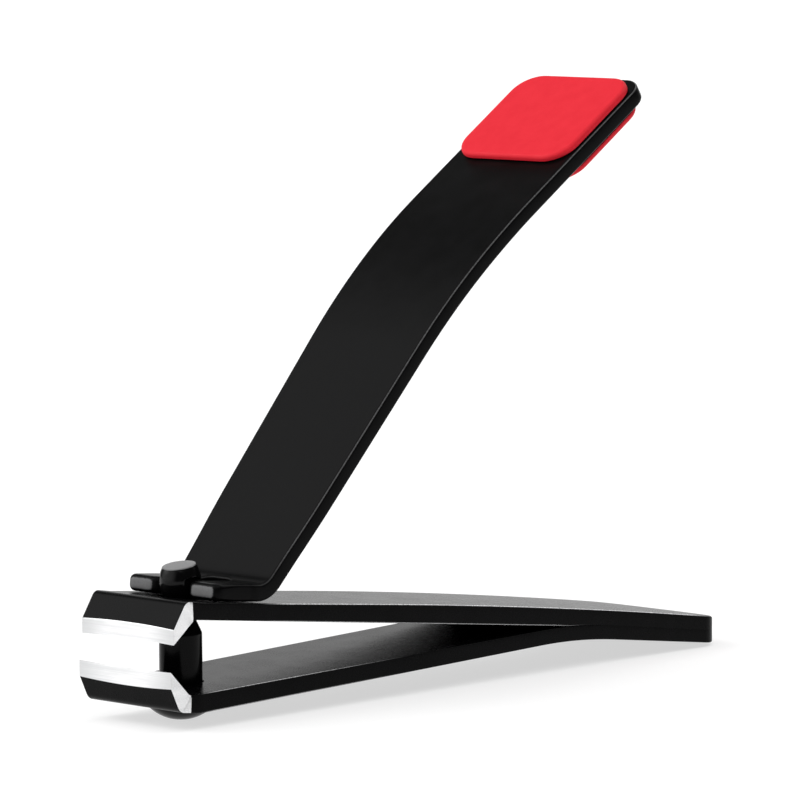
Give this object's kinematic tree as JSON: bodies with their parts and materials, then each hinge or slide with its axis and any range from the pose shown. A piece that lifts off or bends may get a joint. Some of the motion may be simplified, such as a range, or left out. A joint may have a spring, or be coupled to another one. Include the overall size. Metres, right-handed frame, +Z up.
{
  "type": "nail clipper",
  "caption": "Lever nail clipper standing open: two sprung leaves joined at the tail, a pivot post, and a bent lever with rubber thumb pads.",
  "frame": {"origin": "centre of the flat foot of the pivot post's domed head, which rests on the table", "axes": "+X from the cutting edges to the joined tail, +Y along the cutting edges, +Z up through the pivot post"},
  "size_m": [0.0872, 0.0182, 0.0656],
  "materials": {
    "lower_jaw": "satin black coating on spring steel, bright ground edges",
    "upper_jaw": "satin black coating on spring steel, bright ground edges",
    "pivot_post": "glossy black coating on turned steel",
    "lever": "satin black coating on bent steel strip",
    "adhesive_top": "thin double-sided adhesive film",
    "pad_top": "soft matt red rubber",
    "adhesive_under": "thin double-sided adhesive film",
    "pad_under": "soft matt red rubber"
  },
  "bodies": {
    "lower_jaw_body": {"lower_jaw": "lower_jaw"},
    "upper_jaw_body": {"upper_jaw": "upper_jaw"},
    "post_body": {"pivot_post": "pivot_post"},
    "lever_body": {"lever": "lever", "adhesive_top": "adhesive_top", "pad_top": "pad_top", "adhesive_under": "adhesive_under", "pad_under": "pad_under"}
  },
  "joints": [
    {"name": "lever_press", "type": "hinge", "parent": "lower_jaw_body", "child": "lever_body", "pos_m": [-0.0011, 0, 0.015], "axis": [0, 1, 0], "range_deg": [0, 19], "stiffness_Nm_per_rad": 0.022, "springref_deg": -23.95},
    {"name": "jaw_close", "type": "hinge", "parent": "lower_jaw_body", "child": "upper_jaw_body", "pos_m": [0.0515, 0, 0.0049], "axis": [0, -1, 0], "range_deg": [0, 2.61]},
    {"name": "post_swivel", "type": "hinge", "parent": "lower_jaw_body", "child": "post_body", "pos_m": [0, 0, 0], "axis": [0, 0, 1], "range_deg": [-4, 4]}
  ],
  "couplings": [
    {"joint": "jaw_close", "follows": "lever_press", "ratio": 0.1368}
  ]
}
